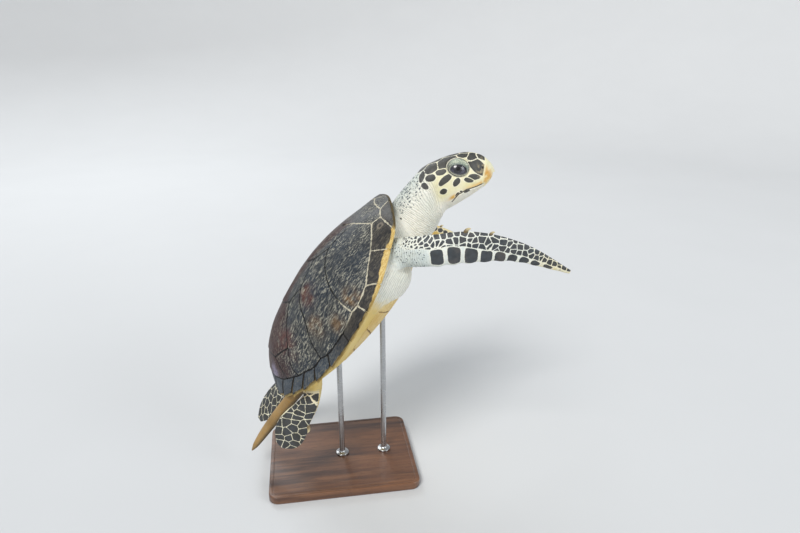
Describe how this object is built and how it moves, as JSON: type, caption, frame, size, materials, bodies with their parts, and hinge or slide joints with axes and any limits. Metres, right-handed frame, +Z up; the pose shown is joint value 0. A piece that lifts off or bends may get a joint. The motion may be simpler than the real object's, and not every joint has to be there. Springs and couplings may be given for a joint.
{
  "type": "hawksbill sea turtle model",
  "caption": "Life-size still model of a swimming hawksbill sea turtle, body pitched up with flippers spread, held by two short rods on a flat display base.",
  "frame": {"origin": "middle of the flat underside of the display base", "axes": "+Z up; +X the way the turtle heads, level; +Y to the turtle's left; the shell's long axis is pitched 61 degrees above level in the XZ plane"},
  "size_m": [0.8351, 0.5044, 0.9327],
  "materials": {
    "skin": "satin, wrinkled and scaled reptile skin, dark scales edged with pale yellow",
    "back_horn": "worn satin horn, dark brown with amber streaks and a thin pale film",
    "rim_horn": "worn satin horn, dark with yellow outer edges",
    "belly_horn": "satin horn, pale yellow",
    "beak_horn": "satin horn, amber to pale yellow",
    "claw_horn": "satin horn",
    "eye": "wet, glossy, near black",
    "stand_wood": "satin lacquered dark walnut",
    "stand_metal": "brushed"
  },
  "bodies": {
    "root": {"trunk": "skin", "plastron": "belly_horn", "neck": "skin", "vertebral_1": "back_horn", "vertebral_2": "back_horn", "vertebral_3": "back_horn", "vertebral_4": "back_horn", "vertebral_5": "back_horn", "costal_left_1": "back_horn", "costal_left_2": "back_horn", "costal_left_3": "back_horn", "costal_left_4": "back_horn", "marginal_left_1": "rim_horn", "marginal_left_2": "rim_horn", "marginal_left_3": "rim_horn", "marginal_left_4": "rim_horn", "marginal_left_5": "rim_horn", "marginal_left_6": "rim_horn", "marginal_left_7": "rim_horn", "marginal_left_8": "rim_horn", "marginal_left_9": "rim_horn", "marginal_left_10": "rim_horn", "marginal_left_11": "rim_horn", "costal_right_1": "back_horn", "costal_right_2": "back_horn", "costal_right_3": "back_horn", "costal_right_4": "back_horn", "marginal_right_1": "rim_horn", "marginal_right_2": "rim_horn", "marginal_right_3": "rim_horn", "marginal_right_4": "rim_horn", "marginal_right_5": "rim_horn", "marginal_right_6": "rim_horn", "marginal_right_7": "rim_horn", "marginal_right_8": "rim_horn", "marginal_right_9": "rim_horn", "marginal_right_10": "rim_horn", "marginal_right_11": "rim_horn", "nuchal": "back_horn", "supracaudal": "rim_horn", "head": "skin", "beak_upper": "beak_horn", "lower_jaw": "skin", "beak_lower": "beak_horn", "eye_left": "eye", "eye_right": "eye", "flipper_front_right": "skin", "claw_front_right_1": "claw_horn", "claw_front_right_2": "claw_horn", "flipper_front_left": "skin", "claw_front_left_1": "claw_horn", "claw_front_left_2": "claw_horn", "flipper_rear_right": "skin", "claw_rear_right_1": "claw_horn", "flipper_rear_left": "skin", "claw_rear_left_1": "claw_horn", "tail": "skin", "stand_base": "stand_wood", "stand_rod_front": "stand_metal", "stand_rod_rear": "stand_metal"}
  },
  "joints": []
}
